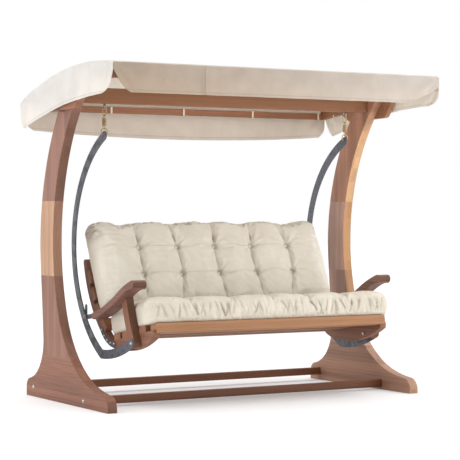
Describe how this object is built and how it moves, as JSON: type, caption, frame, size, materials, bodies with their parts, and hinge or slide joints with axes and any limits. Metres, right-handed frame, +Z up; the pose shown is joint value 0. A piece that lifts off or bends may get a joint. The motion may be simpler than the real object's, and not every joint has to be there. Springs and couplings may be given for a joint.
{
  "type": "garden swing seat",
  "caption": "Free-standing wooden garden swing seat with an arched canvas canopy, a tufted bench on bowed steel arms and spring hangers.",
  "frame": {"origin": "on the floor, midway between the two posts and straight below the eye bolts", "axes": "+X to the right seen from the front, +Y to the back, +Z up; the seat faces -Y"},
  "size_m": [2.39, 1.394, 2.1239],
  "materials": {
    "frame_wood_light": "satin",
    "frame_wood_red": "satin",
    "frame_wood_brown": "satin",
    "seat_wood": "satin",
    "dark_steel": "satin",
    "zinc_steel": "satin",
    "cushion_cover": "matte",
    "canopy_canvas": "matte",
    "canopy_front_canvas": "matte"
  },
  "bodies": {
    "frame": {"left_foot": "frame_wood_brown", "right_foot": "frame_wood_brown", "left_post_lower": "frame_wood_light", "right_post_lower": "frame_wood_light", "left_post_middle": "frame_wood_red", "right_post_middle": "frame_wood_red", "left_post_upper": "frame_wood_red", "right_post_upper": "frame_wood_red", "left_rafter": "frame_wood_red", "right_rafter": "frame_wood_red", "hanging_beam": "frame_wood_red", "front_stretcher": "frame_wood_brown", "rear_stretcher": "frame_wood_brown", "canopy_front_rail": "frame_wood_brown", "canopy_back_rail": "frame_wood_brown", "stretcher_bolts": "zinc_steel", "stretcher_barrel_nuts": "zinc_steel", "rafter_bolts": "zinc_steel", "eye_bolts": "zinc_steel", "eye_bolt_nuts": "zinc_steel", "canopy_roof": "canopy_canvas", "canopy_back_flap": "canopy_canvas", "canopy_left_flap": "canopy_canvas", "canopy_right_flap": "canopy_canvas", "canopy_front_flap": "canopy_front_canvas"},
    "hangers": {"left_oval_link": "zinc_steel", "right_oval_link": "zinc_steel", "left_spring": "zinc_steel", "right_spring": "zinc_steel"},
    "rings": {"left_lower_ring": "zinc_steel", "right_lower_ring": "zinc_steel"},
    "seat": {"corner_bolts": "zinc_steel", "arm_bolts": "zinc_steel", "arm_nuts": "zinc_steel", "left_hanger_arm": "dark_steel", "right_hanger_arm": "dark_steel", "left_arm_bracket": "dark_steel", "right_arm_bracket": "dark_steel", "left_corner_strap": "dark_steel", "right_corner_strap": "dark_steel", "left_back_upright": "seat_wood", "right_back_upright": "seat_wood", "left_seat_rail": "seat_wood", "right_seat_rail": "seat_wood", "left_armrest": "seat_wood", "right_armrest": "seat_wood", "left_armrest_support": "seat_wood", "right_armrest_support": "seat_wood", "seat_slat_1": "seat_wood", "seat_slat_2": "seat_wood", "seat_slat_3": "seat_wood", "seat_slat_4": "seat_wood", "back_slat_1": "seat_wood", "back_slat_2": "seat_wood", "back_slat_3": "seat_wood", "back_slat_4": "seat_wood", "seat_front_rail": "seat_wood", "seat_cushion": "cushion_cover", "back_cushion": "cushion_cover"}
  },
  "joints": [
    {"name": "swing", "type": "hinge", "parent": "frame", "child": "hangers", "pos_m": [0, 0, 1.8708], "axis": [1, 0, 0], "range_deg": [-22, 22]},
    {"name": "bounce", "type": "slide", "parent": "hangers", "child": "rings", "axis": [0, 0, 1], "range_m": [-0.045, 0.006], "stiffness_N_per_m": 24000, "springref_m": 0.03329, "deforming": ["left_spring", "right_spring"]},
    {"name": "bench_tilt", "type": "hinge", "parent": "rings", "child": "seat", "pos_m": [0, 0, 1.6967], "axis": [1, 0, 0], "range_deg": [-10, 10]}
  ]
}
